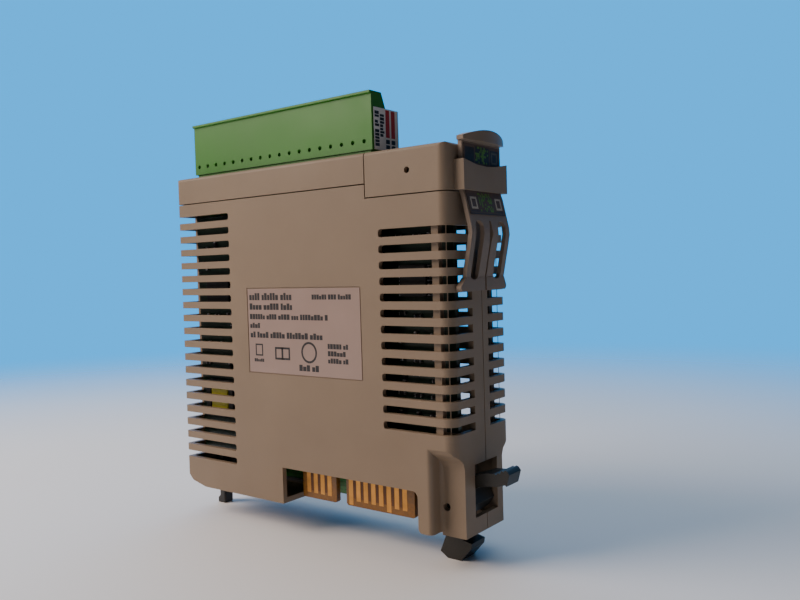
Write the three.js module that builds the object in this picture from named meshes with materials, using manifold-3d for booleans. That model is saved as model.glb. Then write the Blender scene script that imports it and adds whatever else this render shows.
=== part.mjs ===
// Analogue input and output module of a rack-mounted programmable controller.
// Millimetres, +Z up. The module stands on its rear (bus) edge with its wiring side up:
// X runs along the module, from its plain end to the end with the lock lever,
// Y runs through its width, from the side with the rating label to the other side,
// and Z runs from the card edge up to the terminal block.
import * as THREE from "three";
import { mergeVertices } from "three/addons/utils/BufferGeometryUtils.js";
import Module from "manifold-3d";

const wasm = await Module();
wasm.setup();

// ---------------------------------------------------------------- driving dimensions

const LENGTH = 99.1;
const WIDTH = 26.6;
const MID_Y = WIDTH / 2;
const SEAM_Y = 14.2;
const WALL = 1.5;
const GAP = 0.3;
const BEYOND = 2;

const REAR_Z = 8.5;
const SEAM_Z = 94.3;
const BEZEL_SEAM_Z = 90.8;
const FRONT_Z = 102.3;
const BEZEL_X = 74.5;
const PLAIN_CORNER = 1.0;
const LEVER_CORNER = 2.8;
const ROUND_STEPS = 4;
const FINE_STEPS = 2;
const LIP_STEPS = 12;

const VENT_PITCH = 3.98;
const VENT_HEIGHT = 2.0;
const VENT_END_RADIUS = 0.7;
const LEFT_VENTS = { count: 19, topZ: 89.75, side: 22.9, end: 6.4 };
const RIGHT_VENTS = { count: 13, topZ: 81.95, side: 78.2, end: 9.8 };
const VENT_RIB = { x0: 93.4, x1: 95.4, depth: 1.3 };

const CARD_CUTOUT = { x0: 41.7, x1: 88.1, topZ: 18.7, radius: 1.6, footRadius: 1.2, farY: 22.4 };
const COLUMN = {
  x: 92.2, inset: 4.4, baseZ: 7.6, fullZ: 24.5, fadeZ: 29.5, edgeRadius: 1.2, footRadius: 1.2,
};
const WINDOW = { halfWidth: 5.3, z0: 11.7, z1: 24.8 };
const CHAMFER = { length: 8.2, height: 3.7, kneeX: 2.4, kneeZ: 1.4 };
const LEVER_PATH_HALF_WIDTH = 5.6;
const CATCH = { x0: 1.6, x1: 3.9, toeX: 0.6, toeZ: 1.6, y: 12.5, halfWidth: 1.7, headZ: 14.2, topZ: 15.4 };

const PIVOT = { x: 93.7, z: 14.75 };
const PIN_RADIUS = 0.7;
const PIN_HOLE_RADIUS = 1.0;
const PIN_RECESS = 0.9;
const LEVER = { y0: 9.2, armY1: 15.0, hookY1: 15.5, hubY1: 19.2 };
const SPRING = { radius: 2.2, halfWidth: 1.7 };

const POLES = 18;
const POLE_PITCH = 3.81;
const FIRST_POLE_X = 7.8;
const PLUG = { x0: 5.9, x1: 75.2, y0: 2.0, y1: 13.6, z0: 103.3, stepZ: 114.2, z1: 118.1 };
const PLUG_LIP = { reach: 0.65, height: 0.6 };
const PLUG_NOSE = { x0: 6.7, x1: 74.4, y0: 3.1, y1: 12.7, z0: 92.6 };
const SCREW_Y = 4.6;
const SCREW_BORE_RADIUS = 1.6;
const WIRE_Y = 11.0;
const SOCKET_Y = 7.8;
const HEADER = { x0: 5.7, x1: 75.7, y0: 1.9, y1: 13.9, z0: 91.0, z1: 101.8 };
const HEADER_WALL = 0.8;
const HEADER_PIN_TOP = 99.6;
const PIN_HALF = 0.5;
const PIN_CLEARANCE = 0.12;
const PIN_COMB = { z0: 88.6, z1: 90.7 };
const SOCKET_HALF = 0.7;
const SOCKET_TOP = 100.4;
const PROBE = { z: 105.6, radius: 0.6 };
const WIRE_ENTRY = { halfX: 1.4, halfY: 1.5, z0: 105.2 };
const HEADER_POCKET = { x0: 5.4, x1: 76.0, y0: 1.6, y1: 14.2 };

const COLLAR = { x: 101.8, halfWidth: 10.1, topZ: 98.3, dip: 1.2, wall: 0.8 };
const TAG = { x0: 99.4, thickness: 1.1, y: 13.4, halfWidth: 8.9, capZ: 102.9, topZ: 105.6 };
const THUMB_LIP = { halfWidth: 9.4, endReach: 1.9, bow: 4.6, endZ: 103.9, underZ: 102.6, endUnderZ: 102.9 };
const TAG_LABEL = { z0: 85.4, z1: 102.3, margin: 0.7 };
const TAG_REACH = 8;
const TAG_FEET = { y0: 2.2, y1: 23.3, z0: 67.2, tipZ: 68.4, z1: 70.4, reach: 1.5 };
const TAG_SLOT = { offset: 5.2, halfWidth: 1.8, z0: 69.9, z1: 84.0, radius: 1.6 };

const MAIN_BOARD = { y0: 5.0, y1: 6.6, bottomZ: 19.5, tabZ: 9.9, topZ: 90.6 };
const CARD_TABS = [[44.6, 57.2], [60.7, 83.5]];
const TAB_CHAMFER = 0.5;
const SECOND_BOARD = { y0: 15.2, y1: 16.6 };

const RATING_LABEL = { x0: 30.0, x1: 71.7, z0: 45.0, z1: 68.6 };
const LABEL_RECESS = 0.2;

// ---------------------------------------------------------------- materials

function finish(colour, roughness, metalness = 0) {
  return new THREE.MeshStandardMaterial({ color: colour, roughness, metalness });
}

const MATERIALS = {
  casePlastic: finish(0xa39888, 0.6),
  terminalPlastic: finish(0x4f9a3a, 0.5),
  blackPlastic: finish(0x2b2a28, 0.55),
  label: finish(0xe6dcd8, 0.5),
  darkLabel: finish(0x25231f, 0.4),
  board: finish(0x2f6a3a, 0.5),
  chip: finish(0x1c1c1e, 0.5),
  metal: finish(0xb9bbbd, 0.35, 0.9),
  window: finish(0x1a2226, 0.15),
  lamp: finish(0x9fe09a, 0.25),
};

// ---------------------------------------------------------------- solids from three.js shapes

function toSolid(geometry) {
  const bare = geometry.clone();
  bare.deleteAttribute("normal");
  bare.deleteAttribute("uv");
  const merged = mergeVertices(bare, 1e-5);
  return new wasm.Manifold(new wasm.Mesh({
    numProp: 3,
    vertProperties: new Float32Array(merged.attributes.position.array),
    triVerts: new Uint32Array(merged.index.array),
  }));
}

function box(x0, x1, y0, y1, z0, z1) {
  const geometry = new THREE.BoxGeometry(x1 - x0, y1 - y0, z1 - z0);
  geometry.translate((x0 + x1) / 2, (y0 + y1) / 2, (z0 + z1) / 2);
  return toSolid(geometry);
}

function extrude(outline, from, to, [xAxis, yAxis, alongAxis], steps) {
  const geometry = new THREE.ExtrudeGeometry(asShape(outline), {
    depth: to - from, bevelEnabled: false, curveSegments: steps,
  });
  geometry.translate(0, 0, from);
  geometry.applyMatrix4(new THREE.Matrix4().makeBasis(xAxis, yAxis, alongAxis));
  return toSolid(geometry);
}

const X = new THREE.Vector3(1, 0, 0);
const Y = new THREE.Vector3(0, 1, 0);
const Z = new THREE.Vector3(0, 0, 1);

function asShape(outline) {
  if (outline instanceof THREE.Shape) return outline;
  return new THREE.Shape(outline.map(([a, b]) => new THREE.Vector2(a, b)));
}

// The outline lies in the XY plane and runs along Z.
function alongZ(outline, z0, z1, steps = ROUND_STEPS) {
  return extrude(outline, z0, z1, [X, Y, Z], steps);
}

// The outline lies in the YZ plane and runs along X.
function alongX(outline, x0, x1, steps = ROUND_STEPS) {
  return extrude(outline, x0, x1, [Y, Z, X], steps);
}

// The outline lies in the XZ plane and runs along Y.
function alongY(outline, y0, y1, steps = ROUND_STEPS) {
  return extrude(outline, -y1, -y0, [X, Z, Y.clone().negate()], steps);
}

function cylinderZ(x, y, radius, z0, z1, sides = 16) {
  const geometry = new THREE.CylinderGeometry(radius, radius, z1 - z0, sides);
  geometry.rotateX(Math.PI / 2);
  geometry.translate(x, y, (z0 + z1) / 2);
  return toSolid(geometry);
}

function cylinderY(x, z, radius, y0, y1, sides = 16) {
  const geometry = new THREE.CylinderGeometry(radius, radius, y1 - y0, sides);
  geometry.translate(x, (y0 + y1) / 2, z);
  return toSolid(geometry);
}

function unite(solids) {
  return solids.reduce((sum, solid) => sum.add(solid));
}

function cut(solid, cutters) {
  return solid.subtract(unite(cutters));
}

function across(solid) {
  return solid.mirror([0, 1, 0]).translate([0, WIDTH, 0]);
}

// A rectangle from (x0, y0) to (x1, y1) whose corners are rounded, named from its low-left corner round.
function roundedRectangle(x0, y0, x1, y1, [r00, r10, r11, r01]) {
  const shape = new THREE.Shape();
  shape.moveTo(x0 + r00, y0);
  shape.lineTo(x1 - r10, y0);
  if (r10) shape.absarc(x1 - r10, y0 + r10, r10, -Math.PI / 2, 0, false);
  shape.lineTo(x1, y1 - r11);
  if (r11) shape.absarc(x1 - r11, y1 - r11, r11, 0, Math.PI / 2, false);
  shape.lineTo(x0 + r01, y1);
  if (r01) shape.absarc(x0 + r01, y1 - r01, r01, Math.PI / 2, Math.PI, false);
  shape.lineTo(x0, y0 + r00);
  if (r00) shape.absarc(x0 + r00, y0 + r00, r00, Math.PI, Math.PI * 1.5, false);
  return shape;
}

const plcModule = new THREE.Group();

function addPart(name, solid, material, parent = plcModule) {
  const mesh = solid.getMesh();
  const geometry = new THREE.BufferGeometry();
  geometry.setAttribute("position", new THREE.BufferAttribute(new Float32Array(mesh.vertProperties), 3));
  geometry.setIndex(new THREE.BufferAttribute(new Uint32Array(mesh.triVerts), 1));
  geometry.computeVertexNormals();
  const part = new THREE.Mesh(geometry, material);
  part.name = name;
  parent.add(part);
  return part;
}

// ---------------------------------------------------------------- case halves

function caseOutline(inset) {
  const plain = Math.max(PLAIN_CORNER - inset, 0.4);
  const lever = Math.max(LEVER_CORNER - inset, 0.4);
  return roundedRectangle(inset, inset, LENGTH - inset, WIDTH - inset, [plain, lever, lever, plain]);
}

// The rear corner of the plain end is cut back in two slopes. inset moves the cut into the case.
function chamferCut(inset) {
  const x = inset;
  const z = REAR_Z + inset;
  return alongY([
    [x - BEYOND, z - BEYOND],
    [x + CHAMFER.length, z - BEYOND],
    [x + CHAMFER.length, z],
    [x + CHAMFER.kneeX, z + CHAMFER.kneeZ],
    [x, z + CHAMFER.height],
    [x - BEYOND, z + CHAMFER.height],
  ], -BEYOND, WIDTH + BEYOND);
}

// One vent slot of the near half: along the side wall and round the corner into the end wall.
function ventSlot(z, sideX, endX, endY) {
  const low = z - VENT_HEIGHT / 2;
  const high = z + VENT_HEIGHT / 2;
  const r = VENT_END_RADIUS;
  const openEnd = endX < sideX ? endX - BEYOND : endX + BEYOND;
  const radii = endX < sideX ? [0, r, r, 0] : [r, 0, 0, r];
  const sideSlot = roundedRectangle(Math.min(openEnd, sideX), low, Math.max(openEnd, sideX), high, radii);
  const throughSide = alongY(sideSlot, -BEYOND, WALL + GAP, FINE_STEPS);
  const inner = endX < sideX ? endX + WALL + GAP : endX - WALL - GAP;
  const throughEnd = box(Math.min(openEnd, inner), Math.max(openEnd, inner), -BEYOND, endY, low, high);
  return throughSide.add(throughEnd);
}

function ventSlots() {
  const slots = [];
  for (let row = 0; row < LEFT_VENTS.count; row += 1) {
    slots.push(ventSlot(LEFT_VENTS.topZ - row * VENT_PITCH, LEFT_VENTS.side, 0, LEFT_VENTS.end));
  }
  for (let row = 0; row < RIGHT_VENTS.count; row += 1) {
    slots.push(ventSlot(RIGHT_VENTS.topZ - row * VENT_PITCH, RIGHT_VENTS.side, LENGTH, RIGHT_VENTS.end));
  }
  return unite(slots);
}

// The side of the lever column steps in from the side of the case and fades out above.
// Its edge and its foot are rounded in plan. grow moves the recess into the case.
function columnRecess(grow) {
  const depth = COLUMN.inset + grow;
  const wallX = COLUMN.x - grow;
  const edge = Math.max(COLUMN.edgeRadius - grow, 0.3);
  const foot = COLUMN.footRadius + grow;
  const fade = new THREE.Shape();
  fade.moveTo(-BEYOND, 0);
  fade.lineTo(depth, 0);
  fade.lineTo(depth, COLUMN.fullZ);
  fade.bezierCurveTo(depth, COLUMN.fadeZ - 2.2, 0.6, COLUMN.fullZ + 3, 0, COLUMN.fadeZ + grow);
  fade.lineTo(-BEYOND, COLUMN.fadeZ + grow);
  const plan = new THREE.Shape();
  plan.moveTo(LENGTH + BEYOND, depth);
  plan.lineTo(LENGTH + BEYOND, -BEYOND);
  plan.lineTo(wallX - edge, -BEYOND);
  plan.lineTo(wallX - edge, 0);
  plan.absarc(wallX - edge, edge, edge, -Math.PI / 2, 0, false);
  plan.lineTo(wallX, depth - foot);
  plan.absarc(wallX + foot, depth - foot, foot, Math.PI, Math.PI / 2, true);
  const tall = COLUMN.fadeZ + grow + BEYOND;
  return alongX(fade, wallX - edge - 1, LENGTH + BEYOND).intersect(alongZ(plan, 0, tall));
}

function caseCavity() {
  const hollow = alongZ(caseOutline(WALL), REAR_Z + WALL, SEAM_Z + BEYOND, FINE_STEPS);
  const nearColumn = columnRecess(WALL);
  return cut(hollow, [chamferCut(WALL), nearColumn, across(nearColumn)]);
}

function caseBody() {
  const main = alongZ(caseOutline(0), REAR_Z, SEAM_Z);
  const columnFoot = box(
    COLUMN.x, LENGTH, COLUMN.inset, WIDTH - COLUMN.inset, COLUMN.baseZ, REAR_Z + WALL,
  );
  const recess = columnRecess(0);
  const bezelSeat = box(BEZEL_X - GAP, LENGTH + BEYOND, -BEYOND, WIDTH + BEYOND,
    BEZEL_SEAM_Z, SEAM_Z + BEYOND);
  const shell = cut(main.add(columnFoot), [
    caseCavity(), chamferCut(0), recess, across(recess), bezelSeat,
  ]);
  const rib = box(VENT_RIB.x0, VENT_RIB.x1, WALL - GAP, WALL + VENT_RIB.depth,
    RIGHT_VENTS.topZ - RIGHT_VENTS.count * VENT_PITCH, RIGHT_VENTS.topZ + VENT_PITCH);
  const slots = ventSlots();
  const throughFloor = REAR_Z + WALL + GAP;
  const leverPath = box(CARD_CUTOUT.x1 - 1, LENGTH - WALL,
    SEAM_Y - LEVER_PATH_HALF_WIDTH, SEAM_Y + LEVER_PATH_HALF_WIDTH, 0, throughFloor);
  const rearSlot = box(CARD_CUTOUT.x0, CARD_CUTOUT.x1, WALL, CARD_CUTOUT.farY, 0, throughFloor);
  const window = box(LENGTH - WALL - BEYOND, LENGTH + BEYOND,
    SEAM_Y - WINDOW.halfWidth, SEAM_Y + WINDOW.halfWidth, WINDOW.z0, WINDOW.z1);
  const pinHole = cylinderY(PIVOT.x, PIVOT.z, PIN_HOLE_RADIUS, -BEYOND, WIDTH + BEYOND);
  const catchSlot = box(CATCH.x0 - GAP, CATCH.x1 + GAP,
    CATCH.y - CATCH.halfWidth - GAP, CATCH.y + CATCH.halfWidth + GAP, 0, throughFloor + CHAMFER.height);
  return cut(shell, [slots, across(slots), leverPath, rearSlot, window, pinHole, catchSlot])
    .add(rib).add(across(rib));
}

// The near side is cut away over the card edge, with its lower corner on the lever side rounded outwards.
function cardOpening() {
  const { x0, x1, topZ, radius, footRadius } = CARD_CUTOUT;
  const shape = new THREE.Shape();
  shape.moveTo(x0, -BEYOND);
  shape.lineTo(x1 + footRadius, -BEYOND);
  shape.lineTo(x1 + footRadius, REAR_Z);
  shape.absarc(x1 + footRadius, REAR_Z + footRadius, footRadius, -Math.PI / 2, -Math.PI, true);
  shape.lineTo(x1, topZ - radius);
  shape.absarc(x1 - radius, topZ - radius, radius, 0, Math.PI / 2, false);
  shape.lineTo(x0, topZ);
  return alongY(shape, -BEYOND, WALL + GAP);
}

function caseNearHalf(body) {
  const half = body.intersect(box(-BEYOND, LENGTH + BEYOND, -BEYOND, SEAM_Y - GAP / 2, 0, FRONT_Z));
  const labelSeat = box(RATING_LABEL.x0 - GAP, RATING_LABEL.x1 + GAP, -BEYOND, LABEL_RECESS,
    RATING_LABEL.z0 - GAP, RATING_LABEL.z1 + GAP);
  return cut(half, [cardOpening(), labelSeat]);
}

function caseFarHalf(body) {
  return body.intersect(box(-BEYOND, LENGTH + BEYOND, SEAM_Y + GAP / 2, WIDTH + BEYOND, 0, FRONT_Z));
}

// ---------------------------------------------------------------- front frame and display bezel

// A cap over the case: its outline in plan, its top edges rounded over, hollow from below.
function frontCap(x0, x1, baseZ) {
  const edge = 1.0;
  const outline = caseOutline(0);
  const body = alongZ(outline, baseZ, FRONT_Z)
    .intersect(box(x0, x1, -BEYOND, WIDTH + BEYOND, baseZ - 1, FRONT_Z + 1));
  const crown = roundedRectangle(0, baseZ - 1, WIDTH, FRONT_Z, [0, 0, edge, edge]);
  const crownLong = roundedRectangle(0, baseZ - 1, LENGTH, FRONT_Z, [0, 0, edge, edge]);
  const hollow = alongZ(caseOutline(WALL), baseZ - BEYOND, FRONT_Z - WALL, FINE_STEPS)
    .intersect(box(x0 + (x0 > 0 ? WALL : 0), x1 - (x1 < LENGTH ? WALL : 0), 0, WIDTH, 0, FRONT_Z));
  return body
    .intersect(alongX(crown, x0 - 1, x1 + 1))
    .intersect(alongY(crownLong, -1, WIDTH + 1))
    .subtract(hollow);
}

function headerPocket() {
  return box(HEADER_POCKET.x0, HEADER_POCKET.x1, HEADER_POCKET.y0, HEADER_POCKET.y1, 0, FRONT_Z + BEYOND);
}

function frontFrame() {
  const strip = box(5.4, 72.0, 15.6, 25.0, FRONT_Z - 0.4, FRONT_Z + BEYOND);
  return cut(frontCap(0, BEZEL_X - GAP, SEAM_Z + GAP), [headerPocket(), strip]);
}

function collarTop() {
  const shape = new THREE.Shape();
  const y0 = MID_Y - COLLAR.halfWidth;
  const y1 = MID_Y + COLLAR.halfWidth;
  shape.moveTo(y0, 0);
  shape.lineTo(y1, 0);
  shape.lineTo(y1, COLLAR.topZ);
  const lowZ = COLLAR.topZ - COLLAR.dip;
  shape.bezierCurveTo(y1 - 7, lowZ, y0 + 9, lowZ - 0.8, y0, COLLAR.topZ);
  return shape;
}

const DISPLAY = { x0: 80.0, x1: 95.4, y0: 5.6, y1: 21.0 };
const LIGHT_PIPE = { x: 77.6, y: 20.2, radius: 1.1 };
const BEZEL_PEG = { x: 87.6, z: 96.7, radius: 0.5 };

function displayBezel() {
  const baseZ = BEZEL_SEAM_Z + GAP;
  const cap = frontCap(BEZEL_X, LENGTH, baseZ);
  const collar = alongX(collarTop(), LENGTH - 0.6, COLLAR.x)
    .intersect(box(0, COLLAR.x + 1, 0, WIDTH, baseZ, FRONT_Z));
  const channel = box(LENGTH, COLLAR.x - COLLAR.wall, MID_Y - COLLAR.halfWidth + COLLAR.wall,
    MID_Y + COLLAR.halfWidth - COLLAR.wall, 0, FRONT_Z + BEYOND);
  const opening = box(DISPLAY.x0, DISPLAY.x1, DISPLAY.y0, DISPLAY.y1, FRONT_Z - WALL - 1, FRONT_Z + BEYOND);
  const pipeHole = cylinderZ(LIGHT_PIPE.x, LIGHT_PIPE.y, LIGHT_PIPE.radius + GAP, 98, FRONT_Z + BEYOND);
  const pegHole = cylinderY(BEZEL_PEG.x, BEZEL_PEG.z, BEZEL_PEG.radius + GAP, -BEYOND, WALL + GAP);
  return cut(cap.add(collar), [channel, opening, pipeHole, pegHole, headerPocket()]);
}

// ---------------------------------------------------------------- identification tag

// The tag in side view: flat in the collar, bowed out below it, and back in to its feet.
// offset0 and offset1 are the back and front faces' distances in front of the tag's back line.
function tagProfile(offset0, offset1, z0, z1) {
  const line = [
    [0, TAG.topZ + BEYOND], [0, 91.2], [0.6, 89.5], [1.5, 85.6], [2.2, 82.6],
    [2.35, 80.9], [1.95, 78.6], [0.1, 69.4], [0.1, TAG_FEET.z0 - BEYOND],
  ];
  const front = line.map(([dx, z]) => [TAG.x0 + dx + offset1, z]);
  const back = line.map(([dx, z]) => [TAG.x0 + dx + offset0, z]).reverse();
  return alongY([...front, ...back], 0, WIDTH).intersect(box(0, TAG.x0 + TAG_REACH, 0, WIDTH, z0, z1));
}

function tagBand(halfWidth, z0, z1) {
  return box(TAG.x0 - 1, TAG.x0 + TAG_REACH, TAG.y - halfWidth, TAG.y + halfWidth, z0, z1);
}

// The lip that a thumb pushes: bowed outwards in plan and crowned in front view.
function thumbLip() {
  const { halfWidth, endReach, bow, endZ, underZ, endUnderZ } = THUMB_LIP;
  const y0 = TAG.y - halfWidth;
  const y1 = TAG.y + halfWidth;
  const lean = halfWidth / 2;
  const plan = new THREE.Shape();
  plan.moveTo(TAG.x0, y0);
  plan.lineTo(TAG.x0 + endReach, y0);
  plan.bezierCurveTo(TAG.x0 + bow, y0 + lean, TAG.x0 + bow, y1 - lean, TAG.x0 + endReach, y1);
  plan.lineTo(TAG.x0, y1);
  const crown = TAG.topZ * 2 - endZ;
  const face = new THREE.Shape();
  face.moveTo(y0, endUnderZ);
  face.quadraticCurveTo(TAG.y, underZ * 2 - endUnderZ, y1, endUnderZ);
  face.lineTo(y1, endZ);
  face.quadraticCurveTo(TAG.y, crown, y0, endZ);
  return alongZ(plan, underZ - 1, TAG.topZ + 1, LIP_STEPS)
    .intersect(alongX(face, TAG.x0 - 1, TAG.x0 + TAG_REACH, LIP_STEPS));
}

// The two feet, each flared out to a blunt tip at the side.
function tagFeet() {
  const { y0, y1, z0, tipZ, z1, reach } = TAG_FEET;
  const stem0 = TAG.y - TAG.halfWidth;
  const stem1 = TAG.y + TAG.halfWidth;
  const bluntness = 0.6;
  return alongX([
    [y0 + bluntness, z0], [y1 - bluntness, z0], [y1, z0 + bluntness], [y1, tipZ], [stem1, z1],
    [stem0, z1], [y0, tipZ], [y0, z0 + bluntness],
  ], TAG.x0 + 0.1, TAG.x0 + reach);
}

function idTag() {
  const stem = tagProfile(0, TAG.thickness, TAG_FEET.z0, TAG.capZ + 0.4)
    .intersect(tagBand(TAG.halfWidth, TAG_FEET.z0, TAG.topZ));
  const { offset, halfWidth, z0, z1, radius } = TAG_SLOT;
  const slotAt = (y) => alongX(
    roundedRectangle(y - halfWidth, z0, y + halfWidth, z1, [radius, radius, radius, radius]),
    TAG.x0 - 2, TAG.x0 + TAG_REACH,
  );
  const slitHalf = [[0.3, TAG_FEET.z0 - BEYOND], [0.35, 78.5], [0.85, 80.8], [0.3, TAG_SLOT.z1]];
  const slit = alongX([
    ...slitHalf.map(([dy, z]) => [TAG.y + dy, z]),
    ...slitHalf.map(([dy, z]) => [TAG.y - dy, z]).reverse(),
  ], TAG.x0 - 2, TAG.x0 + TAG_REACH);
  return cut(unite([stem, tagFeet(), thumbLip()]), [slotAt(TAG.y - offset), slotAt(TAG.y + offset), slit]);
}

function tagLabel() {
  return tagProfile(TAG.thickness + 0.03, TAG.thickness + 0.18, TAG_LABEL.z0, TAG_LABEL.z1)
    .intersect(tagBand(TAG.halfWidth - TAG_LABEL.margin, TAG_LABEL.z0, TAG_LABEL.z1));
}

// ---------------------------------------------------------------- lock lever

// Points are measured from the pivot, along X and Z.
function fromPivot(points) {
  return points.map(([dx, dz]) => [PIVOT.x + dx, PIVOT.z + dz]);
}

function lockLever() {
  const hub = alongY(fromPivot([
    [-3.2, 9.3], [-3.4, 0], [-3.0, -3.4], [1.6, -3.6], [3.2, -2.2], [4.6, -0.2], [2.6, 3.6],
    [0.5, 4.4], [-0.8, 4.4], [-1.4, 9.3],
  ]), LEVER.y0, LEVER.hubY1);
  const hook = alongY(fromPivot([
    [-3.4, 0], [-3.4, -5.4], [-3.9, -9.2], [-5.6, -13.3], [-3.4, -14.75], [0.5, -14.75],
    [3.5, -11.3], [3.8, -9.9], [1.3, -9.4], [1.0, -6.5], [1.6, -3.0],
  ]), LEVER.y0, LEVER.hookY1);
  const arm = alongY(fromPivot([
    [-1.2, 4.2], [0.6, 5.4], [1.9, 6.15], [7.9, 8.25], [10.6, 8.5], [11.1, 8.2], [11.6, 8.9],
    [12.1, 8.6], [12.6, 9.5], [13.1, 9.2], [13.6, 9.7], [14.2, 9.4], [14.75, 8.65], [13.9, 5.75],
    [13.5, 6.05], [11.3, 5.35], [9.3, 5.15], [6.7, 4.8], [2.6, 2.6], [0, 1.5],
  ]), LEVER.y0, LEVER.armY1);
  const bore = cylinderY(PIVOT.x, PIVOT.z, PIN_HOLE_RADIUS, 0, WIDTH);
  const well = SPRING.halfWidth + GAP;
  const springWell = cylinderY(PIVOT.x, PIVOT.z, SPRING.radius + GAP, SEAM_Y - well, SEAM_Y + well, 20)
    .add(box(PIVOT.x - 6, PIVOT.x, SEAM_Y - well, SEAM_Y + well,
      PIVOT.z - SPRING.radius, PIVOT.z + SPRING.radius));
  return cut(unite([hub, hook, arm]), [bore, springWell]);
}

function leverSpring() {
  const { radius, halfWidth } = SPRING;
  const coil = cylinderY(PIVOT.x, PIVOT.z, radius, SEAM_Y - halfWidth, SEAM_Y + halfWidth, 20);
  return coil.subtract(cylinderY(PIVOT.x, PIVOT.z, PIN_HOLE_RADIUS + 0.1, 0, WIDTH, 20));
}

function leverPin() {
  return cylinderY(PIVOT.x, PIVOT.z, PIN_RADIUS, COLUMN.inset + PIN_RECESS,
    WIDTH - COLUMN.inset - PIN_RECESS);
}

// ---------------------------------------------------------------- rear catch

function rearCatch() {
  const y0 = CATCH.y - CATCH.halfWidth;
  const y1 = CATCH.y + CATCH.halfWidth;
  const headEdge = 1.2;
  const stem = alongY([
    [CATCH.toeX, 0], [CATCH.x1, 0], [CATCH.x1, CATCH.topZ], [CATCH.x0, CATCH.topZ],
    [CATCH.x0, CATCH.toeZ + 0.8], [CATCH.toeX, CATCH.toeZ],
  ], y0, y1);
  const head = box(CATCH.x0, CATCH.x1 + headEdge, y0 - headEdge, y1 + headEdge, CATCH.headZ, CATCH.topZ);
  return stem.add(head);
}

// ---------------------------------------------------------------- terminal plug and header

function poleX(pole) {
  return FIRST_POLE_X + pole * POLE_PITCH;
}

function forEachPole(make) {
  return Array.from({ length: POLES }, (unused, pole) => make(poleX(pole), pole));
}

function terminalPlug() {
  const profile = [
    [PLUG.y0 + PLUG_LIP.reach, PLUG.z0], [PLUG.y1, PLUG.z0], [PLUG.y1, PLUG.stepZ],
    [PLUG.y0 + 6.4, PLUG.stepZ], [PLUG.y0 + 4.8, PLUG.z1], [PLUG.y0, PLUG.z1],
    [PLUG.y0, PLUG.z1 - PLUG_LIP.height], [PLUG.y0 + PLUG_LIP.reach, PLUG.z1 - PLUG_LIP.height - 0.2],
  ];
  const body = alongX(profile, PLUG.x0, PLUG.x1);
  const nose = box(PLUG_NOSE.x0, PLUG_NOSE.x1, PLUG_NOSE.y0, PLUG_NOSE.y1, PLUG_NOSE.z0, PLUG.z0 + 0.5);
  const bores = forEachPole((x) => cylinderZ(x, SCREW_Y, SCREW_BORE_RADIUS, 108.0, PLUG.z1 + 1, 12));
  const entries = forEachPole((x) => box(x - WIRE_ENTRY.halfX, x + WIRE_ENTRY.halfX,
    WIRE_Y - WIRE_ENTRY.halfY, WIRE_Y + WIRE_ENTRY.halfY, WIRE_ENTRY.z0, PLUG.z1));
  const sockets = forEachPole((x) => box(x - SOCKET_HALF, x + SOCKET_HALF,
    SOCKET_Y - SOCKET_HALF, SOCKET_Y + SOCKET_HALF, PLUG_NOSE.z0 - 1, SOCKET_TOP));
  const probes = forEachPole((x) => cylinderY(x, PROBE.z, PROBE.radius, 0, PLUG.y0 + 1.4, 8));
  return cut(body.add(nose), [...bores, ...entries, ...sockets, ...probes]);
}

function terminalScrew(x) {
  const top = PLUG.z1 - 0.9;
  const head = cylinderZ(x, SCREW_Y, 1.25, top - 1.6, top, 12);
  const shank = cylinderZ(x, SCREW_Y, 0.8, 108.4, top - 1.4, 8);
  const slot = box(x - 2, x + 2, SCREW_Y - 0.22, SCREW_Y + 0.22, top - 0.7, top + 1);
  return head.add(shank).subtract(slot);
}

function squarePins(half, z0, z1) {
  return unite(forEachPole((x) => box(x - half, x + half, SOCKET_Y - half, SOCKET_Y + half, z0, z1)));
}

function terminalHeader() {
  const trough = box(HEADER.x0 + HEADER_WALL, HEADER.x1 - HEADER_WALL, HEADER.y0 + HEADER_WALL,
    HEADER.y1 - HEADER_WALL, PLUG_NOSE.z0 - GAP, HEADER.z1 + 1);
  return box(HEADER.x0, HEADER.x1, HEADER.y0, HEADER.y1, HEADER.z0, HEADER.z1)
    .subtract(trough)
    .subtract(squarePins(PIN_HALF + PIN_CLEARANCE, HEADER.z0 - 1, PLUG_NOSE.z0));
}

// The contact pins, joined by a bar below the header's floor.
function contactPins() {
  const bar = box(poleX(0) - PIN_HALF, poleX(POLES - 1) + PIN_HALF, SOCKET_Y - PIN_HALF, SOCKET_Y + PIN_HALF,
    PIN_COMB.z0, PIN_COMB.z1);
  return bar.add(squarePins(PIN_HALF, PIN_COMB.z1 - GAP, HEADER_PIN_TOP));
}

function stripGaugeLabel() {
  return box(PLUG.x1 + 0.05, PLUG.x1 + 0.2, PLUG.y0 + 1.4, PLUG.y1 - 0.1, PLUG.z0 + 0.1, PLUG.stepZ - 0.1);
}

// ---------------------------------------------------------------- boards and their parts

function mainBoard() {
  const { bottomZ, tabZ, topZ } = MAIN_BOARD;
  const outline = [[2.6, bottomZ]];
  for (const [x0, x1] of CARD_TABS) {
    outline.push([x0, bottomZ], [x0, tabZ + TAB_CHAMFER], [x0 + TAB_CHAMFER, tabZ]);
    outline.push([x1 - TAB_CHAMFER, tabZ], [x1, tabZ + TAB_CHAMFER], [x1, bottomZ]);
  }
  outline.push([89.2, bottomZ], [89.2, 33], [97.2, 33], [97.2, topZ], [2.6, topZ]);
  return alongY(outline, MAIN_BOARD.y0, MAIN_BOARD.y1);
}

function secondBoard() {
  const outline = [
    [3.2, 15.8], [12.0, 15.8], [12.0, 11.0], [42.4, 11.0], [42.4, 9.0], [80.0, 9.0],
    [80.0, 86.0], [3.2, 86.0],
  ];
  return alongY(outline, SECOND_BOARD.y0, SECOND_BOARD.y1);
}

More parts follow.
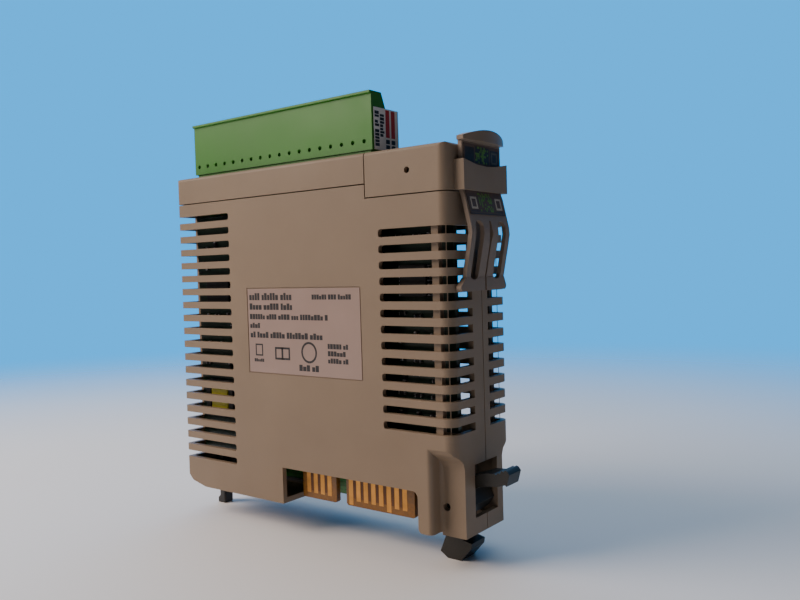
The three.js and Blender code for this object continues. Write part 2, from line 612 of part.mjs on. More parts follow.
// A part on the main board: "near" faces the label side, "inner" faces the second board.
function onMainBoard(face, x0, x1, z0, z1, height) {
  return face === "near"
    ? box(x0, x1, MAIN_BOARD.y0 - GAP - height, MAIN_BOARD.y0 - GAP, z0, z1)
    : box(x0, x1, MAIN_BOARD.y1 + GAP, MAIN_BOARD.y1 + GAP + height, z0, z1);
}

function onSecondBoard(x0, x1, z0, z1, height) {
  return box(x0, x1, SECOND_BOARD.y1 + GAP, SECOND_BOARD.y1 + GAP + height, z0, z1);
}

const CAPACITORS = [[12.0, 30.0], [12.0, 40.0], [86.0, 60.0]];
const CAPACITOR_RADIUS = 3.15;
const ISOLATORS = [0, 1, 2, 3];

function addElectronics() {
  addPart("main_board", mainBoard(), MATERIALS.board);
  addPart("second_board", secondBoard(), MATERIALS.board);
  addPart("board_connector", box(26, 52, MAIN_BOARD.y1 + GAP, SECOND_BOARD.y0 - GAP, 72, 77),
    MATERIALS.blackPlastic);
  addPart("power_converter", onMainBoard("inner", 56, 76, 40, 60, 7.6), MATERIALS.chip);
  addPart("bus_chip", onMainBoard("near", 50, 62, 28, 40, 1.4), MATERIALS.chip);
  addPart("input_converter_chip", onMainBoard("near", 8, 18, 64, 72, 1.4), MATERIALS.chip);
  addPart("output_converter_chip", onMainBoard("near", 82, 90, 66, 74, 1.4), MATERIALS.chip);
  addPart("isolation_transformer", onMainBoard("near", 7, 19, 30, 41, 2.2), MATERIALS.metal);
  CAPACITORS.forEach(([x, z], i) => {
    const can = cylinderY(x, z, CAPACITOR_RADIUS, MAIN_BOARD.y1 + GAP, SECOND_BOARD.y0 - 0.8, 20);
    addPart(`capacitor_${i + 1}`, can, MATERIALS.metal);
  });
  for (const i of ISOLATORS) {
    const z = 28 + i * 9;
    addPart(`isolator_${i + 1}`, onSecondBoard(30, 37, z, z + 5, 2.2), MATERIALS.chip);
  }
}

// ---------------------------------------------------------------- display

function addDisplay() {
  const z = FRONT_Z;
  const { x0, x1, y0, y1 } = DISPLAY;
  addPart("display_window", box(x0 + GAP, x1 - GAP, y0 + GAP, y1 - GAP, z - 1.7, z - 0.4),
    MATERIALS.window);
  addPart("display_panel", box(x0 + 1, x1 - 1, y0 + 1, y1 - 1, z - 3.8, z - 2.0),
    MATERIALS.window);
  addPart("display_board", box(78.6, 96.6, 3.6, 23.0, z - 5.7, z - 4.3), MATERIALS.board);
  addPart("status_light_pipe", cylinderZ(LIGHT_PIPE.x, LIGHT_PIPE.y, LIGHT_PIPE.radius, z - 4.0, z - 0.1),
    MATERIALS.lamp);
  addPart("bezel_peg", cylinderY(BEZEL_PEG.x, BEZEL_PEG.z, BEZEL_PEG.radius, 1.1, 3.2),
    MATERIALS.casePlastic);
}

// ---------------------------------------------------------------- assembly

const body = caseBody();
addPart("case_near_half", caseNearHalf(body), MATERIALS.casePlastic);
addPart("case_far_half", caseFarHalf(body), MATERIALS.casePlastic);
addPart("front_frame", frontFrame(), MATERIALS.casePlastic);
addPart("display_bezel", displayBezel(), MATERIALS.casePlastic);
addDisplay();
addPart("rating_label", box(RATING_LABEL.x0, RATING_LABEL.x1, 0.02, LABEL_RECESS - 0.03,
  RATING_LABEL.z0, RATING_LABEL.z1), MATERIALS.label);
addPart("wiring_strip_label", box(5.8, 71.6, 16.0, 24.6, FRONT_Z - 0.35, FRONT_Z - 0.15), MATERIALS.label);
addPart("rear_catch", rearCatch(), MATERIALS.blackPlastic);
addElectronics();
addPart("terminal_header", terminalHeader(), MATERIALS.terminalPlastic);
addPart("contact_pins", contactPins(), MATERIALS.metal);

const tagGroup = new THREE.Group();
plcModule.add(tagGroup);
addPart("id_tag", idTag(), MATERIALS.casePlastic, tagGroup);
addPart("tag_label", tagLabel(), MATERIALS.darkLabel, tagGroup);

const leverGroup = new THREE.Group();
plcModule.add(leverGroup);
addPart("lock_lever", lockLever(), MATERIALS.blackPlastic, leverGroup);
addPart("lever_spring", leverSpring(), MATERIALS.metal, leverGroup);
addPart("lever_pin", leverPin(), MATERIALS.metal);

const plugGroup = new THREE.Group();
plcModule.add(plugGroup);
addPart("terminal_plug", terminalPlug(), MATERIALS.terminalPlastic, plugGroup);
addPart("strip_gauge_label", stripGaugeLabel(), MATERIALS.label, plugGroup);
forEachPole((x, pole) => {
  const number = String(pole + 1).padStart(2, "0");
  addPart(`terminal_screw_${number}`, terminalScrew(x), MATERIALS.metal, plugGroup);
});

// The origin is the middle of the footprint, on the surface that the module stands on.
const bounds = new THREE.Box3().setFromObject(plcModule);
const middle = bounds.getCenter(new THREE.Vector3());
plcModule.position.set(-middle.x, -middle.y, -bounds.min.z);

export default plcModule;
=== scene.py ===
# Looks of the rack module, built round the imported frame. Lengths are written in millimetres from the
# module's own corner (its plain end, label side, standing surface) and turned into metres by at().
import math
import random

import bmesh
import bpy
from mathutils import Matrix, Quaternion, Vector


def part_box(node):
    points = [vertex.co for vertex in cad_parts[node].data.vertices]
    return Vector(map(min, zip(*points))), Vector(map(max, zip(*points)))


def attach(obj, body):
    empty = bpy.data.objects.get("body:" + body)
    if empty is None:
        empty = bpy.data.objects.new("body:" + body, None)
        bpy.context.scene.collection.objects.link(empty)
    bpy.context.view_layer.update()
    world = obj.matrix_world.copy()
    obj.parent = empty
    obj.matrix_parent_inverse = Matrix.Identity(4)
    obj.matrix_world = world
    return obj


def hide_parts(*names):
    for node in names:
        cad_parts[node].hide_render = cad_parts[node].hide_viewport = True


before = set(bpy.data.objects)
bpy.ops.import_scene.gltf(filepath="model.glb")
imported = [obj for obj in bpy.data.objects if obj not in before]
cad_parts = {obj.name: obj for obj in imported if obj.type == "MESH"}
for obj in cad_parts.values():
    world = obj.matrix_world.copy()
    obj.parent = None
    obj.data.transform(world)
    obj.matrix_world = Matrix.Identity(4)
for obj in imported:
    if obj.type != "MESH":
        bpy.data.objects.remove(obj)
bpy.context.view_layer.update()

MM = 0.001
CORNER = Vector((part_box("case_near_half")[0].x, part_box("case_near_half")[0].y, 0.0))
WIDTH = (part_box("case_far_half")[1].y - CORNER.y) / MM
MID_Y = WIDTH / 2
TAG_Y = 13.4

POLES = 18
POLE_PITCH = 3.81
FIRST_POLE_X = 7.8
WIRE_Y = 11.0

# How far print stands out of its label, and how far it reaches into it.
INK_PROUD = 0.012
INK_SUNK = 0.01


def pole_x(pole):
    return FIRST_POLE_X + pole * POLE_PITCH


def at(x, y, z):
    """A place in metres, from millimetres measured from the module's corner."""
    return CORNER + Vector((x, y, z)) * MM


def corner_box(node):
    """A CAD node's box in millimetres from the module's corner."""
    low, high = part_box(node)
    return (low - CORNER) / MM, (high - CORNER) / MM


# ------------------------------------------------------------------ shader graphs

def linear(red, green, blue):
    """A screen colour, 0 to 255, as the linear colour that shaders take."""
    def channel(value):
        share = value / 255
        return share / 12.92 if share <= 0.04045 else ((share + 0.055) / 1.055) ** 2.4
    return (channel(red), channel(green), channel(blue), 1.0)


def scaled(colour, factor):
    """A colour made lighter or darker."""
    return (*[min(1.0, part * factor) for part in colour[:3]], 1.0)


class Graph:
    """One material's nodes, with short calls to add and join them."""

    def __init__(self, name):
        self.material = bpy.data.materials.new(name)
        self.material.use_nodes = True
        self.nodes = self.material.node_tree.nodes
        self.links = self.material.node_tree.links
        self.nodes.clear()
        self.place = self.add("ShaderNodeTexCoord").outputs["Object"]

    def add(self, kind, inputs=None, **settings):
        node = self.nodes.new(kind)
        for key, value in settings.items():
            setattr(node, key, value)
        for key, value in (inputs or {}).items():
            if isinstance(value, bpy.types.NodeSocket):
                self.links.new(value, node.inputs[key])
            else:
                node.inputs[key].default_value = value
        return node

    def noise(self, scale, detail=3.0, roughness=0.5, vector=None):
        """Noise with features about 1/scale metres across."""
        return self.add("ShaderNodeTexNoise", {
            "Vector": vector or self.place, "Scale": scale, "Detail": detail, "Roughness": roughness,
        }).outputs["Fac"]

    def remap(self, value, low, high, to_low, to_high):
        return self.add("ShaderNodeMapRange", {
            "Value": value, "From Min": low, "From Max": high, "To Min": to_low, "To Max": to_high,
        }, clamp=True).outputs["Result"]

    def spread(self, value, to_low=0.0, to_high=1.0):
        """Noise stretched to a full range."""
        return self.remap(value, NOISE_LOW, NOISE_HIGH, to_low, to_high)

    def mix(self, factor, first, second):
        node = self.add("ShaderNodeMix", {0: factor, 6: first, 7: second}, data_type="RGBA")
        return node.outputs[2]

    def math(self, operation, first, second):
        return self.add("ShaderNodeMath", {0: first, 1: second}, operation=operation).outputs[0]

    def edges(self, radius_mm, start=0.995, end=0.90):
        """1 near an edge of the shape and 0 on its flats."""
        bent = self.add("ShaderNodeBevel", {"Radius": radius_mm * MM}, samples=4).outputs["Normal"]
        true = self.add("ShaderNodeNewGeometry").outputs["Normal"]
        dot = self.add("ShaderNodeVectorMath", {0: bent, 1: true}, operation="DOT_PRODUCT").outputs["Value"]
        return self.remap(dot, end, start, 1.0, 0.0)

    def bump(self, height, strength, distance_mm, normal=None):
        inputs = {"Height": height, "Strength": strength, "Distance": distance_mm * MM}
        if normal is not None:
            inputs["Normal"] = normal
        return self.add("ShaderNodeBump", inputs).outputs["Normal"]

    def shade(self, **sockets):
        names = {
            "colour": "Base Color", "roughness": "Roughness", "metallic": "Metallic", "normal": "Normal",
            "specular": "Specular IOR Level", "coat": "Coat Weight", "coat_roughness": "Coat Roughness",
            "alpha": "Alpha",
        }
        shader = self.add("ShaderNodeBsdfPrincipled", {names[key]: value for key, value in sockets.items()})
        output = self.add("ShaderNodeOutputMaterial")
        self.links.new(shader.outputs["BSDF"], output.inputs["Surface"])
        return self.material


# Noise scales, in features per metre: the larger, the finer.
MOTTLE_SCALE = 45.0
SPECK_SCALE = 2600.0
HANDLING_SCALE = 300.0
GLOSS_SCALE = 120.0
GRAIN_SCALE = 4200.0
FLOW_SCALE = 60.0
FILM_SHADE_SCALE = 90.0
FILM_SCUFF_SCALE = 420.0
PAPER_SCALE = 900.0
INK_SCALE = 5200.0
INK_GLOSS_SCALE = 700.0
BRUSH_SCALE = 3000.0
DULL_SCALE = 260.0
WEAVE_SCALE = 1500.0
TRACK_SCALE = 260.0
VIA_SCALE = 420.0
SMEAR_SCALE = 70.0
TINT_SCALE = 30.0
RIPPLE_SCALE = 40.0
FLOOR_TONE_SCALE = 3.0

# Noise mostly lies between these, so they are stretched to a full range.
NOISE_LOW = 0.3
NOISE_HIGH = 0.7

# How far from an edge the lighter band reaches: partly handling wear, partly a painted highlight.
EDGE_WEAR_AND_HIGHLIGHT_MM = 0.35


def moulded_plastic(name, colour, roughness, grain=0.35, wear_and_highlight=0.25, specular=0.4, mottle=0.06):
    """Spark-eroded injection moulding: fine grain, slight mottling, edges lightened by handling wear and a
    painted highlight.
    """
    g = Graph(name)
    patches = g.spread(g.noise(MOTTLE_SCALE, 4.0))
    colours = g.mix(patches, scaled(colour, 1 - mottle), scaled(colour, 1 + mottle))
    specks = g.remap(g.noise(SPECK_SCALE, 2.0), 0.58, 0.75, 0.0, 0.10)
    colours = g.mix(specks, colours, scaled(colour, 0.72))
    handled = g.remap(g.noise(HANDLING_SCALE, 3.0), 0.35, 0.65, 0.2, 1.0)
    # Every edge, hollow ones too, is painted lighter: partly handling wear, partly a painted highlight where
    # edges catch the light.
    edge = g.math("MULTIPLY", g.edges(EDGE_WEAR_AND_HIGHLIGHT_MM), handled)
    worn_and_lit = g.math("MULTIPLY", edge, wear_and_highlight)
    colours = g.mix(worn_and_lit, colours, scaled(colour, 1.5))
    rough = g.spread(g.noise(GLOSS_SCALE, 5.0), roughness - 0.06, roughness + 0.06)
    fine = g.bump(g.noise(GRAIN_SCALE, 2.0, 0.6), grain, 0.03)
    flow = g.bump(g.noise(FLOW_SCALE, 2.0), 0.15, 0.12, fine)
    return g.shade(colour=colours, roughness=rough, normal=flow, specular=specular)


def printed_film(name, colour, roughness, coat):
    """Polyester label stock: faint fibres of print, scuffs in the gloss."""
    g = Graph(name)
    shade = g.spread(g.noise(FILM_SHADE_SCALE, 4.0))
    colours = g.mix(shade, scaled(colour, 0.95), scaled(colour, 1.04))
    scuff = g.remap(g.noise(FILM_SCUFF_SCALE, 6.0, 0.7), 0.35, 0.7, roughness - 0.05, roughness + 0.12)
    normal = g.bump(g.noise(PAPER_SCALE, 2.0), 0.12, 0.02)
    return g.shade(colour=colours, roughness=scuff, normal=normal, coat=coat, coat_roughness=0.25)


def ink(name, colour):
    """Thin print that lets a little of its ground show."""
    g = Graph(name)
    patchy = g.remap(g.noise(INK_SCALE, 2.0), 0.35, 0.75, 0.0, 0.35)
    colours = g.mix(patchy, colour, scaled(colour, 2.2))
    return g.shade(colour=colours, roughness=g.spread(g.noise(INK_GLOSS_SCALE), 0.4, 0.55))


def metal(name, colour, roughness, stretch=(1.0, 1.0, 12.0)):
    """Plated or drawn metal with fine lines along one axis and dull patches."""
    g = Graph(name)
    lines = g.add("ShaderNodeMapping", {"Vector": g.place, "Scale": stretch}).outputs["Vector"]
    brushed = g.noise(BRUSH_SCALE, 3.0, vector=lines)
    dull = g.remap(g.noise(DULL_SCALE, 4.0), 0.35, NOISE_HIGH, 0.0, 1.0)
    colours = g.mix(dull, colour, scaled(colour, 0.72))
    rough = g.spread(brushed, roughness - 0.08, roughness + 0.12)
    normal = g.bump(brushed, 0.15, 0.01)
    return g.shade(colour=colours, roughness=rough, metallic=1.0, normal=normal)


def circuit_board(name, mask, laminate=None, tab_top_mm=0.0):
    """Green solder mask with buried tracks and vias. With a laminate, it is bare below tab_top_mm."""
    g = Graph(name)
    upright = g.add("ShaderNodeMapping", {"Vector": g.place, "Rotation": (math.pi / 2, 0.0, 0.0)})
    tracks = g.add("ShaderNodeTexBrick", {
        "Vector": upright.outputs["Vector"], "Scale": TRACK_SCALE, "Mortar Size": 0.12, "Brick Width": 1.7,
        "Row Height": 0.28, "Mortar Smooth": 0.3,
    }, offset=0.37, squash=1.4).outputs["Fac"]
    vias = g.add("ShaderNodeTexVoronoi", {"Vector": g.place, "Scale": VIA_SCALE}).outputs["Distance"]
    dots = g.remap(vias, 0.10, 0.16, 0.7, 0.0)
    colours = g.mix(g.math("MULTIPLY", tracks, 0.55), mask, scaled(mask, 2.0))
    colours = g.mix(dots, colours, scaled(mask, 3.4))
    weave = g.noise(WEAVE_SCALE, 2.0)
    if laminate:
        height = g.add("ShaderNodeSeparateXYZ", {"Vector": g.place}).outputs["Z"]
        bare = g.remap(height, (tab_top_mm - 0.1) * MM, (tab_top_mm + 0.1) * MM, 1.0, 0.0)
        amber = g.mix(g.spread(weave), scaled(laminate, 0.82), scaled(laminate, 1.15))
        colours = g.mix(bare, colours, amber)
    normal = g.bump(tracks, 0.25, 0.04)
    return g.shade(colour=colours, roughness=g.spread(weave, 0.28, 0.42), normal=normal, coat=0.3,
                   coat_roughness=0.15)


def clear_film(name, colour, roughness, coat=0.8):
    """Polished dark window or panel with faint handling smears."""
    g = Graph(name)
    smear = g.remap(g.noise(SMEAR_SCALE, 6.0, 0.7), 0.35, 0.75, roughness, roughness + 0.18)
    colours = g.mix(g.spread(g.noise(TINT_SCALE)), colour, scaled(colour, 1.3))
    return g.shade(colour=colours, roughness=smear, specular=0.6, coat=coat, coat_roughness=0.06,
                   normal=g.bump(g.noise(RIPPLE_SCALE), 0.05, 0.05))


ALONG_Y = (1.0, 12.0, 1.0)
TAB_TOP = 19.2
CASE_COLOUR = linear(138, 119, 99)
GREEN = linear(46, 120, 20)
CHARCOAL = linear(40, 38, 34)

MATERIALS = {
    "case": moulded_plastic("case_plastic", CASE_COLOUR, 0.55),
    "tag": moulded_plastic("tag_plastic", linear(136, 118, 102), 0.5, grain=0.2),
    "green": moulded_plastic("terminal_green", GREEN, 0.42, grain=0.2, wear_and_highlight=0.2, specular=0.5, mottle=0.05),
    "dark": moulded_plastic("dark_plastic", CHARCOAL, 0.42, grain=0.25, wear_and_highlight=0.35, specular=0.5, mottle=0.12),
    "connector": moulded_plastic("connector_plastic", linear(30, 30, 31), 0.45, grain=0.15),
    "epoxy": moulded_plastic("chip_epoxy", linear(38, 38, 40), 0.5, grain=0.3, mottle=0.1),
    "tape": moulded_plastic("transformer_tape", linear(196, 190, 60), 0.4, grain=0.1),
    "paper": printed_film("label_film", linear(158, 134, 123), 0.42, 0.15),
    "gauge": printed_film("gauge_film", linear(248, 240, 232), 0.4, 0.2),
    "dark_film": printed_film("tag_film", linear(92, 72, 60), 0.6, 0.0),
    "black_ink": ink("black_ink", linear(34, 32, 34)),
    "red_ink": ink("red_ink", linear(176, 38, 30)),
    "pale_ink": ink("pale_ink", linear(176, 160, 138)),
    # Frame ink darkened as painted shade, for the tag's upper frame only.
    "painted_shade_ink": ink("painted_shade_ink", linear(84, 76, 68)),
    "green_ink": ink("green_ink", linear(84, 124, 28)),
    "card": circuit_board("card_edge_board", linear(9, 34, 18), linear(126, 80, 2), TAB_TOP),
    "board": circuit_board("circuit_board", linear(38, 104, 42)),
    "board_gap": ink("board_gap", linear(92, 52, 16)),
    "gold": metal("gold_finish", linear(232, 168, 92), 0.42),
    # Near-black steel as painted shade: it makes the lever's pivot read as a shadowed hole.
    "black_pin": metal("black_steel_painted_shade", linear(26, 25, 24), 0.4, ALONG_Y),
    "screw": metal("screw_steel", linear(196, 196, 198), 0.32, ALONG_Y),
    "pin": metal("pin_steel", linear(170, 170, 172), 0.3, ALONG_Y),
    "spring": metal("spring_steel", linear(150, 150, 152), 0.28),
    "can": metal("capacitor_can", linear(205, 205, 208), 0.25, ALONG_Y),
    "window": clear_film("smoked_window", linear(26, 30, 34), 0.06),
    "panel": clear_film("panel_glass", linear(12, 15, 18), 0.1),
    "lamp": clear_film("lamp_lens", linear(170, 214, 150), 0.2, 0.3),
}

# ------------------------------------------------------------------ meshes

def new_object(name, data):
    """A scene object that holds a mesh, a curve, a lamp or a camera."""
    made = bpy.data.objects.new(name, data)
    bpy.context.scene.collection.objects.link(made)
    return made


def bake_modifiers(obj):
    """Replaces obj's mesh by what its modifiers make of it."""
    graph = bpy.context.evaluated_depsgraph_get()
    mesh = bpy.data.meshes.new_from_object(obj.evaluated_get(graph))
    obj.modifiers.clear()
    obj.data = mesh


MERGE_MM = 0.002
CUT_REACH = 1e-7
FLAT_ANGLE = 0.8
SHARP_ANGLE = 60
PIECE_SHARP_ANGLE = 40


def soften(obj, width_mm, segments=2, angle=32):
    """Rounds the sharp edges and shades the flats flat."""
    bevel = obj.modifiers.new("bevel", "BEVEL")
    bevel.width = width_mm * MM
    bevel.segments = segments
    bevel.limit_method = "ANGLE"
    bevel.angle_limit = math.radians(angle)
    bevel.miter_outer = "MITER_ARC"
    bevel.use_clamp_overlap = True
    obj.data.shade_smooth()
    flat = obj.modifiers.new("flat_normals", "WEIGHTED_NORMAL")
    flat.keep_sharp = True
    flat.weight = 100
    bake_modifiers(obj)
    obj.data.set_sharp_from_angle(angle=math.radians(SHARP_ANGLE))


def dress(obj, body, material, replaced=()):
    """Gives a piece its body, its material and the CAD nodes that it stands for."""
    obj.data.materials.clear()
    obj.data.materials.append(material)
    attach(obj, body)
    if replaced:
        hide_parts(*replaced)
    return obj


def refined(node, name, body, material, width_mm, segments=2, angle=32, seams=()):
    """A CAD node's own shape with its edges rounded, standing in its place.

    seams are places along X where its flats stay divided, so that a face with many holes stays simple.
    """
    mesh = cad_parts[node].data.copy()
    solid = bmesh.new()
    solid.from_mesh(mesh)
    bmesh.ops.remove_doubles(solid, verts=solid.verts, dist=MERGE_MM * MM)
    for x in seams:
        whole = solid.verts[:] + solid.edges[:] + solid.faces[:]
        halves = bmesh.ops.bisect_plane(solid, geom=whole, dist=CUT_REACH, plane_co=at(x, 0, 0),
                                        plane_no=(1, 0, 0))
        for part in halves["geom_cut"]:
            if isinstance(part, bmesh.types.BMEdge):
                part.seam = True
    bmesh.ops.dissolve_limit(solid, angle_limit=math.radians(FLAT_ANGLE), verts=solid.verts,
                             edges=solid.edges, delimit={"SEAM"})
    solid.to_mesh(mesh)
    solid.free()
    made = new_object(name, mesh)
    soften(made, width_mm, segments, angle)
    return dress(made, body, material, (node,))


def add_box(solid, x0, x1, y0, y1, z0, z1):
    """A closed block between six planes, in millimetres from the module's corner."""
    corners = [solid.verts.new(at(x, y, z)) for x in (x0, x1) for y in (y0, y1) for z in (z0, z1)]
    for face in ((0, 1, 3, 2), (4, 6, 7, 5), (0, 4, 5, 1), (2, 3, 7, 6), (0, 2, 6, 4), (1, 5, 7, 3)):
        solid.faces.new([corners[i] for i in face])


def add_lathe(solid, centre, axis, profile, sides=24):
    """A closed turned solid: profile is (radius, height) pairs in millimetres from axis to axis."""
    along = Vector(axis).normalized()
    across = along.orthogonal().normalized()
    third = along.cross(across)
    rings = []
    for radius, height in profile:
        base = centre + along * height * MM
        if radius == 0:
            rings.append([solid.verts.new(base)])
            continue
        rings.append([
            solid.verts.new(base + (across * math.cos(turn) + third * math.sin(turn)) * radius * MM)
            for turn in (2 * math.pi * i / sides for i in range(sides))
        ])
    for low, high in zip(rings, rings[1:]):
        for i in range(sides):
            j = (i + 1) % sides
            if len(low) == 1:
                solid.faces.new((low[0], high[j], high[i]))
            elif len(high) == 1:
                solid.faces.new((low[i], low[j], high[0]))
            else:
                solid.faces.new((low[i], low[j], high[j], high[i]))


def piece(name, body, material, build, bevel_mm=0.0, replaced=(), segments=2):
    """Makes one named piece from what build() adds to an empty mesh."""
    solid = bmesh.new()
    build(solid)
    bmesh.ops.recalc_face_normals(solid, faces=solid.faces)
    mesh = bpy.data.meshes.new(name)
    solid.to_mesh(mesh)
    solid.free()
    made = new_object(name, mesh)
    if bevel_mm:
        soften(made, bevel_mm, segments)
    else:
        made.data.shade_smooth()
        made.data.set_sharp_from_angle(angle=math.radians(PIECE_SHARP_ANGLE))
    return dress(made, body, material, replaced)


# ------------------------------------------------------------------ case

def build_case():
    """The two shells, the cap, the display bezel with its peg, and the catch at the plain end."""
    for node, name in (("case_near_half", "near_case_shell"), ("case_far_half", "far_case_shell")):
        refined(node, name, "case", MATERIALS["case"], 0.28)
    refined("front_frame", "front_cap", "case", MATERIALS["case"], 0.3)
    refined("display_bezel", "bezel_shell", "case", MATERIALS["case"], 0.35, 3)
    # The peg is made dark as painted shade, so that it reads as a shadowed hole.
    refined("bezel_peg", "bezel_peg_painted_shade", "case", MATERIALS["dark"], 0.12)
    refined("rear_catch", "rear_catch_hook", "case", MATERIALS["dark"], 0.3)


# ------------------------------------------------------------------ printed labels

LETTERS_PER_WORD = (2, 8)
LETTER_HEIGHTS = (0.74, 1.0, 1.0)
LETTER_WIDTHS = (0.8, 1.15)
LETTER_GAP = 0.1
WORD_GAP = 0.36


def greek_line(draw, x0, x1, top, height, rng, thin):
    """A line of print as blocks, one per letter, gathered into words."""
    x = x0
    while x < x1 - thin * height:
        for _ in range(rng.randint(*LETTERS_PER_WORD)):
            tall = height * rng.choice(LETTER_HEIGHTS)
            wide = thin * height * rng.uniform(*LETTER_WIDTHS)
            if x + wide > x1:
                break
            draw(x, x + wide, top - height, top - height + tall)
            x += wide + LETTER_GAP * height
        x += WORD_GAP * height


def outline(draw, x0, x1, z0, z1, thick):
    """An open rectangle drawn as four bars."""
    draw(x0, x1, z0, z0 + thick)
    draw(x0, x1, z1 - thick, z1)
    draw(x0, x0 + thick, z0 + thick, z1 - thick)
    draw(x1 - thick, x1, z0 + thick, z1 - thick)


# The rating label's lines of print: start, end, top edge, height and letter width per height. The first
# group's tops are measured down from the label's top edge, the second group's up from its bottom edge.
PRINT_MARGIN = 0.7
HEADING_LINES = (
    (PRINT_MARGIN, 17.5, 1.2, 2.0, 0.52),
    (25.0, 39.5, 1.7, 1.35, 0.6),
    (PRINT_MARGIN, 18.5, 4.1, 1.8, 0.56),
    (PRINT_MARGIN, 31.5, 7.1, 1.5, 0.62),
    (PRINT_MARGIN, 5.4, 9.6, 1.5, 0.62),
    (PRINT_MARGIN, 29.5, 12.1, 1.7, 0.6),
)
FOOT_LINES = (
    (19.6, 27.4, 2.9, 1.7, 0.66),
    (30.2, 37.4, 8.9, 1.35, 0.62),
    (30.2, 37.4, 7.0, 1.35, 0.62),
    (30.2, 37.4, 5.1, 1.35, 0.62),
    (2.0, 6.4, 3.9, 0.9, 0.62),
)
# Plain shapes between the lines: start, end, bottom and top.
SMALL_FRAME = (2.6, 5.6, 4.7, 8.1)
SMALL_FRAME_LINE = 0.42
WIDE_FRAME = (10.4, 16.2, 3.9, 7.4)
WIDE_FRAME_LINE = 0.55
WIDE_FRAME_BAR = (12.9, 13.6, 3.9, 7.4)
PLAIN_RING = {"x": 23.4, "z": 6.3, "outer": 2.9, "inner": 2.3}


def build_rating_label():
    """The label on the near side, its print greeked into blocks, plain frames and a ring."""
    low, high = corner_box("rating_label")
    refined("rating_label", "rating_label_film", "case", MATERIALS["paper"], 0.03)
    rng = random.Random(7)
    tall = high.z - low.z
    depth = (low.y - INK_PROUD, low.y + INK_SUNK)

    def print_all(solid):
        def draw(x0, x1, z0, z1):
            add_box(solid, low.x + x0, low.x + x1, *depth, low.z + z0, low.z + z1)

        for start, end, drop, height, thin in HEADING_LINES:
            greek_line(draw, start, end, tall - drop, height, rng, thin)
        for start, end, top, height, thin in FOOT_LINES:
            greek_line(draw, start, end, top, height, rng, thin)
        outline(draw, *SMALL_FRAME, SMALL_FRAME_LINE)
        outline(draw, *WIDE_FRAME, WIDE_FRAME_LINE)
        draw(*WIDE_FRAME_BAR)
        ring = PLAIN_RING
        add_ring(solid, low.x + ring["x"], low.z + ring["z"], ring["outer"], ring["inner"], *depth)

    piece("rating_label_print", "case", MATERIALS["black_ink"], print_all)


def add_ring(solid, x, z, outer, inner, y0, y1, sides=32):
    """A flat ring facing the label side."""
    loops = []
    for y in (y0, y1):
        for radius in (outer, inner):
            loops.append([
                solid.verts.new(at(x + radius * math.cos(turn), y, z + radius * math.sin(turn)))
                for turn in (2 * math.pi * i / sides for i in range(sides))
            ])
    near_out, near_in, far_out, far_in = loops
    for i in range(sides):
        j = (i + 1) % sides
        solid.faces.new((near_out[i], near_out[j], near_in[j], near_in[i]))
        solid.faces.new((far_out[j], far_out[i], far_in[i], far_in[j]))
        solid.faces.new((near_out[j], near_out[i], far_out[i], far_out[j]))
        solid.faces.new((near_in[i], near_in[j], far_in[j], far_in[i]))


BAR_STARTS = (4.7, 7.0)
BAR_WIDTH = 1.6
BAR_SPAN = (3.4, 10.4)
BAR_FEET = ((0.5, 1.5), (1.8, 2.9))
GAUGE_LINES = ((0.3, 0.9, 10.2), (2.4, 3.4, 10.0))
GAUGE_PRINT_HEIGHT = 1.7
GAUGE_LETTER_WIDTH = 0.42


def build_gauge_label():
    """The strip-length gauge on the plug's end: a white plate, two red bars and small print."""
    low, high = corner_box("strip_gauge_label")
    refined("strip_gauge_label", "gauge_label_film", "terminal_plug", MATERIALS["gauge"], 0.03)
    rng = random.Random(11)

    def blocks(solid, y0, y1, z0, z1):
        add_box(solid, high.x - INK_SUNK, high.x + INK_PROUD, low.y + y0, low.y + y1, low.z + z0, low.z + z1)

    def red_bars(solid):
        for y0 in BAR_STARTS:
            blocks(solid, y0, y0 + BAR_WIDTH, *BAR_SPAN)

    def small_print(solid):
        for y0, start, stop in GAUGE_LINES:
            def draw(z0, z1, y1, y2):
                blocks(solid, y0 + y1, y0 + y2, z0, z1)
            greek_line(draw, start, stop, GAUGE_PRINT_HEIGHT, GAUGE_PRINT_HEIGHT, rng, GAUGE_LETTER_WIDTH)
        for y0 in BAR_STARTS:
            for foot in BAR_FEET:
                blocks(solid, y0, y0 + BAR_WIDTH, *foot)

    piece("gauge_bars", "terminal_plug", MATERIALS["red_ink"], red_bars)
    piece("gauge_print", "terminal_plug", MATERIALS["black_ink"], small_print)


# Each pole's two marks: half their width, and where they start and end across the strip.
TICK = (0.12, 0.6, 2.4)
POLE_MARK = (0.9, 3.0, 3.9)
RULE_WIDTH = 0.18
RULE_MARGIN = 1.0
FIRST_RULE = 4.8
LAST_RULE_MARGIN = 0.9
LAST_MARK_MARGIN = 0.5


def build_wiring_strip():
    """One tick and one mark for each terminal, above two ruled lines."""
    low, high = corner_box("wiring_strip_label")
    refined("wiring_strip_label", "wiring_strip_film", "case", MATERIALS["paper"], 0.03)
    depth = (high.z - INK_SUNK, high.z + INK_PROUD)

    def marks(solid):
        for pole in range(POLES):
            x = pole_x(pole)
            if x + LAST_MARK_MARGIN > high.x:
                continue
            for half, y0, y1 in (TICK, POLE_MARK):
                add_box(solid, x - half, x + half, low.y + y0, low.y + y1, *depth)
        for y in (low.y + FIRST_RULE, high.y - LAST_RULE_MARGIN):
            add_box(solid, low.x + RULE_MARGIN, high.x - RULE_MARGIN, y, y + RULE_WIDTH, *depth)

    piece("wiring_strip_print", "case", MATERIALS["black_ink"], marks)


# ------------------------------------------------------------------ terminal plug and header

# The wire clamps' square cages, and where they hang below the mouths of the wire entries.
ENTRY_BELOW_TOP = 3.9
CAGE_ROOF = 1.4
CAGE_FLOOR = 8.4
CAGE_HALF_X = 1.3
CAGE_HALF_Y = 1.4
CAGE_WALL = 0.2


